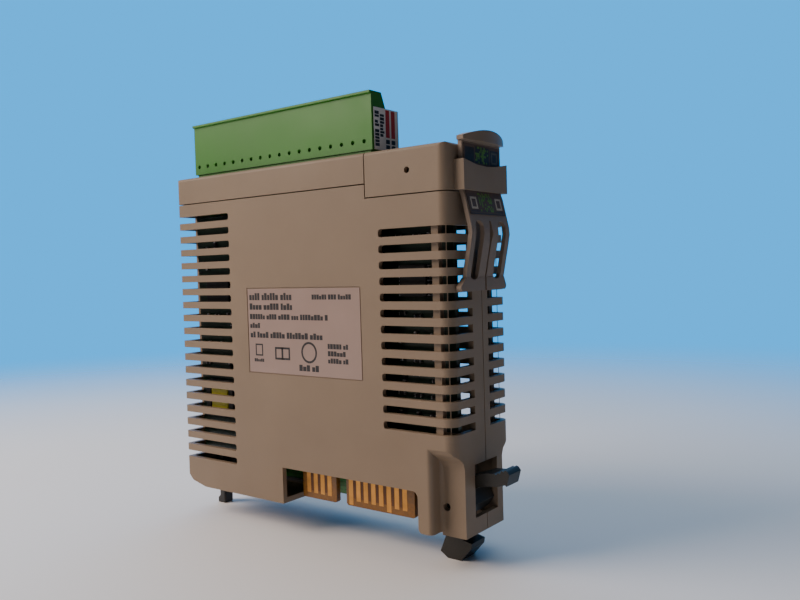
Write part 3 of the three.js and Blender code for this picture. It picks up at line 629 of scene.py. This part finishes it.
def build_terminals():
    """The plug, its header and pins, the wire clamps and the screws that close them."""
    between = [pole_x(pole) - POLE_PITCH / 2 for pole in range(1, POLES)]
    refined("terminal_plug", "plug_body", "terminal_plug", MATERIALS["green"], 0.16,
            seams=between)
    refined("terminal_header", "header_body", "case", MATERIALS["green"], 0.12, 1,
            seams=between)
    refined("contact_pins", "pin_row", "case", MATERIALS["gold"], 0.1, 1)
    entry_top = corner_box("terminal_plug")[1].z - ENTRY_BELOW_TOP
    span = (entry_top - CAGE_FLOOR, entry_top - CAGE_ROOF)
    inner_x = CAGE_HALF_X - CAGE_WALL
    inner_y = CAGE_HALF_Y - CAGE_WALL

    def cages(solid):
        for pole in range(POLES):
            x = pole_x(pole)
            for side in (-1, 1):
                wall_x = sorted((x + side * inner_x, x + side * CAGE_HALF_X))
                wall_y = sorted((WIRE_Y + side * inner_y, WIRE_Y + side * CAGE_HALF_Y))
                add_box(solid, *wall_x, WIRE_Y - CAGE_HALF_Y, WIRE_Y + CAGE_HALF_Y, *span)
                add_box(solid, x - inner_x, x + inner_x, *wall_y, *span)

    piece("wire_clamps", "terminal_plug", MATERIALS["pin"], cages, 0.04)

    for pole in range(POLES):
        node = f"terminal_screw_{pole + 1:02d}"
        refined(node, f"clamp_screw_{pole + 1:02d}", node, MATERIALS["screw"], 0.12)


# ------------------------------------------------------------------ tag

# The tag's printed code: square cells on a dark ground, between two open squares.
CODE_CELL = 0.5
CODE_CELL_FILL = 0.92
CODE_WIDTH = 6.4
CODE_SHARE = 0.42
UPPER_CODE = (97.9, 101.9)
LOWER_CODE = (86.2, 90.8)
SQUARE_REACH = 5.7
SQUARE_HALF_Y = 1.4
SQUARE_HALF_Z = 1.45
SQUARE_LINE = 0.5
SQUARE_DROP = 0.3
# The squares' dark grounds, and the dark line along the label's foot.
GROUND_HALF = 2.0
GROUND_BELOW = 0.1
GROUND_TOP_DROP = 0.4
GROUND_PROUD = 0.006
FOOT_LINE_MARGIN = 0.2
FOOT_LINE = (0.1, 0.3)


def build_tag():
    """The sliding tag and its dark label, printed with a meaningless code."""
    refined("id_tag", "tag_body", "id_tag", MATERIALS["tag"], 0.22, 2, 40)
    refined("tag_label", "tag_label_film", "id_tag", MATERIALS["dark_film"], 0.03)
    low, high = corner_box("tag_label")
    rng = random.Random(23)
    face = tag_face_line()

    def patch(solid, y0, y1, z0, z1, lift=INK_PROUD):
        """A thin patch of print that follows the label's bent face."""
        row = [(face(z0), z0), (face(z1), z1)]
        near = [solid.verts.new(at(x + lift, y0, z)) for x, z in row]
        far = [solid.verts.new(at(x + lift, y1, z)) for x, z in row]
        back_near = [solid.verts.new(at(x - lift, y0, z)) for x, z in row]
        back_far = [solid.verts.new(at(x - lift, y1, z)) for x, z in row]
        solid.faces.new((near[0], far[0], far[1], near[1]))
        solid.faces.new((back_near[1], back_far[1], back_far[0], back_near[0]))
        solid.faces.new((back_near[0], near[0], near[1], back_near[1]))
        solid.faces.new((far[0], back_far[0], back_far[1], far[1]))
        solid.faces.new((back_near[0], back_far[0], far[0], near[0]))
        solid.faces.new((near[1], far[1], back_far[1], back_near[1]))

    square_middles = (TAG_Y - SQUARE_REACH, TAG_Y + SQUARE_REACH)

    def cells(solid):
        for z0, z1 in (UPPER_CODE, LOWER_CODE):
            for row in range(int((z1 - z0) / CODE_CELL)):
                for column in range(int(CODE_WIDTH / CODE_CELL)):
                    if rng.random() < CODE_SHARE:
                        y = TAG_Y - CODE_WIDTH / 2 + column * CODE_CELL
                        z = z0 + row * CODE_CELL
                        patch(solid, y, y + CODE_CELL * CODE_CELL_FILL, z, z + CODE_CELL * CODE_CELL_FILL)

    def squares(code, middles):
        def build(solid):
            z = sum(code) / 2 - SQUARE_DROP
            for y in middles:
                outline(lambda *edges: patch(solid, *edges), y - SQUARE_HALF_Y, y + SQUARE_HALF_Y,
                        z - SQUARE_HALF_Z, z + SQUARE_HALF_Z, SQUARE_LINE)
        return build

    def grounds(solid):
        for z0, z1 in (UPPER_CODE, LOWER_CODE):
            patch(solid, TAG_Y - CODE_WIDTH / 2, TAG_Y + CODE_WIDTH / 2, z0, z1, GROUND_PROUD)
            for y in square_middles:
                patch(solid, y - GROUND_HALF, y + GROUND_HALF, z0 - GROUND_BELOW, z1 - GROUND_TOP_DROP,
                      GROUND_PROUD)
        patch(solid, low.y + FOOT_LINE_MARGIN, high.y - FOOT_LINE_MARGIN, low.z + FOOT_LINE[0],
              low.z + FOOT_LINE[1], GROUND_PROUD)

    piece("tag_code_green", "id_tag", MATERIALS["green_ink"], cells)
    piece("tag_code_ground", "id_tag", MATERIALS["black_ink"], grounds)
    piece("tag_code_frames", "id_tag", MATERIALS["pale_ink"],
          squares(LOWER_CODE, square_middles))
    # The upper frame is drawn in dark ink as painted shade: a shaded copy of the pale lower frames.
    piece("tag_code_shaded_frame", "id_tag", MATERIALS["painted_shade_ink"],
          squares(UPPER_CODE, square_middles[1:]))


TAG_FACE_FLAT = 100.68
TAG_FACE_BENDS = ((0.0, 200.0), (0.0, 91.2), (0.6, 89.5), (1.5, 85.6), (2.2, 82.6))


def tag_face_line():
    """The label's outer face: how far along X it lies at each height, flat above and bent out below."""
    points = [(TAG_FACE_FLAT + out, z) for out, z in TAG_FACE_BENDS]

    def face(z):
        for (xa, za), (xb, zb) in zip(points, points[1:]):
            if z >= zb:
                share = min(1.0, (za - z) / (za - zb))
                return xa + (xb - xa) * share
        return points[-1][0]
    return face


# ------------------------------------------------------------------ lever

SPRING_TURNS = 4
STEPS_PER_TURN = 20
SPRING_RADIUS = 1.7
SPRING_WIRE_RADIUS = 0.3
SPRING_CLEAR = 0.05


def build_lever():
    """The lever, its pin and the coil round it that springs it back."""
    refined("lock_lever", "lever_body", "lock_lever", MATERIALS["dark"], 0.25, 2, 28)
    # The pin is near-black as painted shade, so the pivot reads as a shadowed hole.
    refined("lever_pin", "lever_pivot_pin", "case", MATERIALS["black_pin"], 0.15)
    low, high = corner_box("lever_spring")
    axis_x = (low.x + high.x) / 2
    axis_z = (low.z + high.z) / 2
    steps = SPRING_TURNS * STEPS_PER_TURN
    start_y = low.y + SPRING_WIRE_RADIUS + SPRING_CLEAR
    end_y = high.y - SPRING_WIRE_RADIUS - SPRING_CLEAR
    path = []
    for i in range(steps + 1):
        angle = 2 * math.pi * i / STEPS_PER_TURN
        path.append(at(
            axis_x + SPRING_RADIUS * math.cos(angle),
            start_y + (end_y - start_y) * i / steps,
            axis_z + SPRING_RADIUS * math.sin(angle),
        ))
    wire_piece("return_spring", path, SPRING_WIRE_RADIUS, "lock_lever", MATERIALS["spring"],
               ("lever_spring",))


def wire_piece(name, path, radius_mm, body, material, replaced=()):
    """A round wire along a path, as a mesh."""
    curve = bpy.data.curves.new(name, "CURVE")
    curve.dimensions = "3D"
    curve.bevel_depth = radius_mm * MM
    curve.bevel_resolution = 3
    curve.use_fill_caps = True
    spline = curve.splines.new("POLY")
    spline.points.add(len(path) - 1)
    for point, place in zip(spline.points, path):
        point.co = (*place, 1.0)
    holder = new_object(name + "_path", curve)
    graph = bpy.context.evaluated_depsgraph_get()
    mesh = bpy.data.meshes.new_from_object(holder.evaluated_get(graph))
    bpy.data.objects.remove(holder)
    made = new_object(name, mesh)
    made.data.shade_smooth()
    return dress(made, body, material, replaced)


# ------------------------------------------------------------------ boards

def build_boards():
    """The circuit boards and everything that stands on them."""
    refined("main_board", "main_board_panel", "case", MATERIALS["card"], 0.08, 1)
    refined("second_board", "second_board_panel", "case", MATERIALS["board"], 0.08, 1)
    refined("display_board", "display_board_panel", "case", MATERIALS["board"], 0.08, 1)
    refined("board_connector", "board_link", "case", MATERIALS["connector"], 0.2)
    build_fingers()
    build_chips()
    build_passives()
    build_capacitors()


# Each tab's fingers: the place of the first and their count. Two of them reach further down.
FINGER_TABS = ((46.95, 4), (62.4, 8))
LONG_FINGERS = {(1, 0), (1, 5)}
FINGER_PITCH = 2.57
FINGER_WIDTH = 1.45
FINGER_TOP = 19.0
FINGER_FOOT = 1.55
LONG_FINGER_FOOT = 0.35
FINGER_PROUD = 0.05
GAP_FOOT = 2.2
GAP_PROUD = 0.02
GAP_CLEAR = 0.04
BOARD_SUNK = 0.01


def build_fingers():
    """Gold contact fingers on both faces of the card's two tabs, with darker board between them."""
    low, high = corner_box("main_board")

    def on_both_faces(solid, x0, x1, foot, proud):
        add_box(solid, x0, x1, low.y - proud, low.y + BOARD_SUNK, foot, FINGER_TOP)
        add_box(solid, x0, x1, high.y - BOARD_SUNK, high.y + proud, foot, FINGER_TOP)

    def fingers(solid):
        for tab, (first, count) in enumerate(FINGER_TABS):
            for i in range(count):
                x0 = first + i * FINGER_PITCH - FINGER_WIDTH / 2
                foot = LONG_FINGER_FOOT if (tab, i) in LONG_FINGERS else FINGER_FOOT
                on_both_faces(solid, x0, x0 + FINGER_WIDTH, low.z + foot, FINGER_PROUD)

    def gaps(solid):
        for first, count in FINGER_TABS:
            for i in range(count - 1):
                x0 = first + i * FINGER_PITCH + FINGER_WIDTH / 2 + GAP_CLEAR
                x1 = first + (i + 1) * FINGER_PITCH - FINGER_WIDTH / 2 - GAP_CLEAR
                on_both_faces(solid, x0, x1, low.z + GAP_FOOT, GAP_PROUD)

    piece("edge_fingers", "case", MATERIALS["gold"], fingers, 0.02, segments=1)
    piece("edge_finger_gaps", "case", MATERIALS["board_gap"], gaps)


LEG_DROP = 0.28
LEG_THICKNESS = 0.12
LEG_SHARE = 0.22
LEG_MARGIN = 0.8
SHOULDER_HALF = 0.08
SHOULDER_REACH = (0.0, 0.55)
SHIN_REACH = (0.5, 0.66)
TOE_REACH = (0.6, 1.1)


def chip_legs(solid, low, high, toward, pitch):
    """Gull-wing legs along a chip's two upright edges. toward is -1 if the board is on its far side."""
    count = int((high.z - low.z - LEG_MARGIN) / pitch) + 1
    start = (low.z + high.z - (count - 1) * pitch) / 2
    foot = high.y + LEG_DROP if toward < 0 else low.y - LEG_DROP
    mid = (low.y + high.y) / 2
    half = pitch * LEG_SHARE
    for i in range(count):
        z = start + i * pitch
        for side, edge in ((-1, low.x), (1, high.x)):
            for reach, depth in (
                (SHOULDER_REACH, (mid - SHOULDER_HALF, mid + SHOULDER_HALF)),
                (SHIN_REACH, (mid, foot)),
                (TOE_REACH, (foot, foot + toward * LEG_THICKNESS)),
            ):
                along = sorted(edge + side * part for part in reach)
                add_box(solid, *along, *sorted(depth), z - half, z + half)


CHIPS = ("bus_chip", "input_converter_chip", "output_converter_chip")
ISOLATORS = tuple(f"isolator_{i}" for i in range(1, 5))
CHIP_LEG_PITCH = 0.9
ISOLATOR_LEG_PITCH = 1.27


def build_chips():
    """The chip packages on both boards, their legs, and the bigger parts beside them."""
    for node in CHIPS + ISOLATORS:
        refined(node, node + "_package", "case", MATERIALS["epoxy"], 0.15)

    def legs(solid):
        for node in CHIPS:
            chip_legs(solid, *corner_box(node), -1, CHIP_LEG_PITCH)
        for node in ISOLATORS:
            chip_legs(solid, *corner_box(node), 1, ISOLATOR_LEG_PITCH)

    piece("chip_legs", "case", MATERIALS["pin"], legs)
    refined("power_converter", "power_converter_case", "case", MATERIALS["epoxy"], 0.4, 3)
    build_transformer()


CORE_BAR = 2.2
CORE_LIMB = 2.0
CORE_SET_BACK = 0.1
DRUM_INSET_X = 2.3
DRUM_INSET_Z = 2.4


def build_transformer():
    """A wound part: a dark core round a drum of yellow tape."""
    low, high = corner_box("isolation_transformer")
    depth = (low.y + CORE_SET_BACK, high.y)

    def core(solid):
        for z0, z1 in ((low.z, low.z + CORE_BAR), (high.z - CORE_BAR, high.z)):
            add_box(solid, low.x, high.x, *depth, z0, z1)
        for x0, x1 in ((low.x, low.x + CORE_LIMB), (high.x - CORE_LIMB, high.x)):
            add_box(solid, x0, x1, *depth, low.z + CORE_BAR, high.z - CORE_BAR)

    def drum(solid):
        add_box(solid, low.x + DRUM_INSET_X, high.x - DRUM_INSET_X, low.y, high.y,
                low.z + DRUM_INSET_Z, high.z - DRUM_INSET_Z)

    piece("transformer_core", "case", MATERIALS["epoxy"], core, 0.25,
          ("isolation_transformer",))
    piece("transformer_winding", "case", MATERIALS["tape"], drum, 0.5, segments=3)


# Chip resistors stand in columns behind the vents, each a little off its place, clear of the bigger parts.
RESISTOR_COLUMNS = (7.0, 12.0, 17.0, 22.0, 81.0, 86.0, 91.0)
RESISTOR_ROWS = range(36, 84, 5)
RESISTOR_STRAY_X = 0.8
RESISTOR_STRAY_Z = 0.9
RESISTOR_HALF_LENGTH = 0.7
RESISTOR_HALF_WIDTH = 0.42
RESISTOR_HEIGHT = 0.75
END_SPAN = (0.68, 1.02)
END_HALF_WIDTH = 0.45
END_HEIGHT = 0.8
CLEAR_X = 3
CLEAR_Z = 2


def resistor_spots():
    """Each free spot's X, Z and whether its resistor stands upright."""
    rng = random.Random(5)
    spots = []
    for column in RESISTOR_COLUMNS:
        for row in RESISTOR_ROWS:
            x = column + rng.uniform(-RESISTOR_STRAY_X, RESISTOR_STRAY_X)
            z = row + rng.uniform(-RESISTOR_STRAY_Z, RESISTOR_STRAY_Z)
            spots.append((x, z, rng.random() < 0.5))
    taken = [corner_box(node) for node in (*CHIPS, "isolation_transformer")]

    def is_free(x, z):
        for low, high in taken:
            if low.x - CLEAR_X < x < high.x + CLEAR_X and low.z - CLEAR_Z < z < high.z + CLEAR_Z:
                return False
        return True

    return [spot for spot in spots if is_free(spot[0], spot[1])]


def build_passives():
    """Small chip parts on the main board's label side, in rows that show through the vents."""
    face = corner_box("main_board")[0].y
    spots = resistor_spots()

    def add_turned(solid, x, z, upright, along, across, height):
        """A box on the board, given by its spans along and across a resistor."""
        span_x, span_z = (across, along) if upright else (along, across)
        add_box(solid, x + span_x[0], x + span_x[1], face - height, face, z + span_z[0], z + span_z[1])

    def bodies(solid):
        length = (-RESISTOR_HALF_LENGTH, RESISTOR_HALF_LENGTH)
        width = (-RESISTOR_HALF_WIDTH, RESISTOR_HALF_WIDTH)
        for x, z, upright in spots:
            add_turned(solid, x, z, upright, length, width, RESISTOR_HEIGHT)

    def caps(solid):
        width = (-END_HALF_WIDTH, END_HALF_WIDTH)
        for x, z, upright in spots:
            for side in (-1, 1):
                end = sorted(side * place for place in END_SPAN)
                add_turned(solid, x, z, upright, end, width, END_HEIGHT)

    piece("chip_resistors", "case", MATERIALS["epoxy"], bodies, 0.06, segments=1)
    piece("chip_resistor_ends", "case", MATERIALS["pin"], caps, 0.05, segments=1)


CAPACITORS = 3
CAN_GROOVE = (0.9, 1.2, 1.5, 1.8)
CAN_GROOVE_DEPTH = 0.3
CAN_RIM = 0.5
CAN_RIM_BEND = 0.15


def build_capacitors():
    """Electrolytic cans lying out from the board, each with a crimped groove at its foot."""
    for number in range(1, CAPACITORS + 1):
        node = f"capacitor_{number}"
        low, high = corner_box(node)
        x = (low.x + high.x) / 2
        z = (low.z + high.z) / 2
        radius = (high.x - low.x) / 2
        tall = high.y - low.y
        waist = radius - CAN_GROOVE_DEPTH
        groove = list(zip((radius, waist, waist, radius), CAN_GROOVE))
        rim = [
            (radius, tall - CAN_RIM), (radius - CAN_RIM_BEND, tall - CAN_RIM_BEND), (radius - CAN_RIM, tall),
        ]

        def can(solid):
            add_lathe(solid, at(x, low.y, z), (0, 1, 0), [(0, 0), (radius, 0), *groove, *rim, (0, tall)])

        piece(f"capacitor_can_{number}", "case", MATERIALS["can"], can, replaced=(node,))


# ------------------------------------------------------------------ display

# The lens: its straight height, its shoulder and its domed end, as shares of its radius.
LENS_STRAIGHT = 3.3
LENS_SHOULDER = (0.92, 3.6)
LENS_CROWN_SHARE = 0.6
LENS_CROWN_DROP = 0.05


def build_display():
    """The display under the bezel, which shows nothing, and the status light's lens."""
    refined("display_window", "display_window_pane", "case", MATERIALS["window"], 0.3, 3)
    refined("display_panel", "display_glass", "case", MATERIALS["panel"], 0.2)
    low, high = corner_box("status_light_pipe")
    x = (low.x + high.x) / 2
    y = (low.y + high.y) / 2
    radius = (high.x - low.x) / 2
    tall = high.z - low.z

    def pipe(solid):
        add_lathe(solid, at(x, y, low.z), (0, 0, 1), [
            (0, 0), (radius, 0), (radius, LENS_STRAIGHT), (radius * LENS_SHOULDER[0], LENS_SHOULDER[1]),
            (radius * LENS_CROWN_SHARE, tall - LENS_CROWN_DROP), (0, tall),
        ])

    piece("light_pipe_lens", "case", MATERIALS["lamp"], pipe, replaced=("status_light_pipe",))


# ------------------------------------------------------------------ camera, stage and light

CAMERA_PLACE = (200.53, -153.07, 72.74)
CAMERA_HEADING = 37.16
CAMERA_DIP = -2.18
CAMERA_ROLL = -1.69
LENS_MM = 35.5
SENSOR_MM = 36.0
CLIP_M = (0.01, 50.0)

BACKDROP_COLOUR = (0.02, 0.60, 1.45, 1.0)
ROOM_COLOUR = (0.03, 0.035, 0.045, 1.0)
# The backdrop lights the scene only from headings this close to straight behind the module.
BACKDROP_EDGE = (0.45, 0.82)
FLOOR_HALF_M = 3.0
FLOOR_CENTRE = (54, -60, 0)
FLOOR_FADE_M = (0.16, 0.66)
KEY_PLACE = (-380, -420, 470)
KEY_POWER = 5.8
KEY_SIZE_M = 0.45
KEY_COLOUR = (1.0, 0.86, 0.76)
TOP_PLACE = (-60, 200, 620)
TOP_POWER = 2.0
TOP_SIZE_M = 0.8
TOP_COLOUR = (0.92, 0.97, 1.0)
LIT_POINT = (50, MID_Y, 55)


def build_camera():
    """A camera low beside the label side, past the lever end. Angles are in degrees."""
    data = bpy.data.cameras.new("camera")
    data.lens = LENS_MM
    data.sensor_width = SENSOR_MM
    data.clip_start = CLIP_M[0]
    data.clip_end = CLIP_M[1]
    camera = new_object("camera", data)
    heading = math.radians(CAMERA_HEADING)
    dip = math.radians(CAMERA_DIP)
    forward = Vector((-math.sin(heading) * math.cos(dip), math.cos(heading) * math.cos(dip), math.sin(dip)))
    camera.location = at(*CAMERA_PLACE)
    camera.rotation_mode = "QUATERNION"
    camera.rotation_quaternion = forward.to_track_quat("-Z", "Y")
    camera.rotation_quaternion.rotate(Quaternion(forward, math.radians(-CAMERA_ROLL)))
    bpy.context.scene.camera = camera


def build_stage():
    """A pale floor that fades into the backdrop away from the module."""
    g = Graph("pale_floor")
    tone = g.spread(g.noise(FLOOR_TONE_SCALE, 2.0))
    colour = g.mix(tone, linear(243, 240, 239), linear(248, 246, 245))
    away = g.add("ShaderNodeVectorMath", {0: g.place, 1: at(*FLOOR_CENTRE)}, operation="DISTANCE")
    solid = g.add("ShaderNodeMapRange", {
        "Value": away.outputs["Value"], "From Min": FLOOR_FADE_M[0], "From Max": FLOOR_FADE_M[1],
        "To Min": 1.0, "To Max": 0.0,
    }, interpolation_type="SMOOTHSTEP").outputs["Result"]
    grain = g.bump(g.noise(PAPER_SCALE), 0.05, 0.05)
    paper = g.shade(colour=colour, roughness=0.8, specular=0.2, normal=grain, alpha=solid)
    mesh = bpy.data.meshes.new("floor")
    half = FLOOR_HALF_M
    corners = [(-half, -half, 0), (half, -half, 0), (half, half, 0), (-half, half, 0)]
    mesh.from_pydata(corners, [], [(0, 1, 2, 3)])
    floor = new_object("floor", mesh)
    mesh.materials.append(paper)


def build_light():
    """A pale blue backdrop all round that lights from behind only, a warm key from the left and a fill."""
    world = bpy.data.worlds.new("soft_sky")
    world.use_nodes = True
    tree = world.node_tree
    heading = math.radians(CAMERA_HEADING)
    behind = (-math.sin(heading), math.cos(heading), 0.0)
    place = tree.nodes.new("ShaderNodeTexCoord")
    toward = tree.nodes.new("ShaderNodeVectorMath")
    toward.operation = "DOT_PRODUCT"
    toward.inputs[1].default_value = behind
    share = tree.nodes.new("ShaderNodeMapRange")
    share.inputs["From Min"].default_value = BACKDROP_EDGE[0]
    share.inputs["From Max"].default_value = BACKDROP_EDGE[1]
    colour = tree.nodes.new("ShaderNodeMix")
    colour.data_type = "RGBA"
    colour.inputs[6].default_value = ROOM_COLOUR
    colour.inputs[7].default_value = BACKDROP_COLOUR
    seen = tree.nodes.new("ShaderNodeMix")
    seen.data_type = "RGBA"
    seen.inputs[7].default_value = BACKDROP_COLOUR
    ray = tree.nodes.new("ShaderNodeLightPath")
    background = tree.nodes["Background"]
    background.inputs["Strength"].default_value = 1.0
    tree.links.new(place.outputs["Generated"], toward.inputs[0])
    tree.links.new(toward.outputs["Value"], share.inputs["Value"])
    tree.links.new(share.outputs["Result"], colour.inputs[0])
    tree.links.new(ray.outputs["Is Camera Ray"], seen.inputs[0])
    tree.links.new(colour.outputs[2], seen.inputs[6])
    tree.links.new(seen.outputs[2], background.inputs["Color"])
    bpy.context.scene.world = world
    area_light("key", KEY_PLACE, KEY_SIZE_M, KEY_POWER, KEY_COLOUR)
    area_light("top", TOP_PLACE, TOP_SIZE_M, TOP_POWER, TOP_COLOUR)


def area_light(name, place, size, power, colour):
    """A square lamp that points at the middle of the module."""
    data = bpy.data.lights.new(name, "AREA")
    data.shape = "SQUARE"
    data.size = size
    data.energy = power
    data.color = colour
    light = new_object(name, data)
    light.location = at(*place)
    light.rotation_mode = "QUATERNION"
    light.rotation_quaternion = (at(*LIT_POINT) - light.location).to_track_quat("-Z", "Y")


# ------------------------------------------------------------------ build

build_camera()
build_stage()
build_light()
build_case()
build_rating_label()
build_gauge_label()
build_wiring_strip()
build_terminals()
build_tag()
build_lever()
build_boards()
build_display()
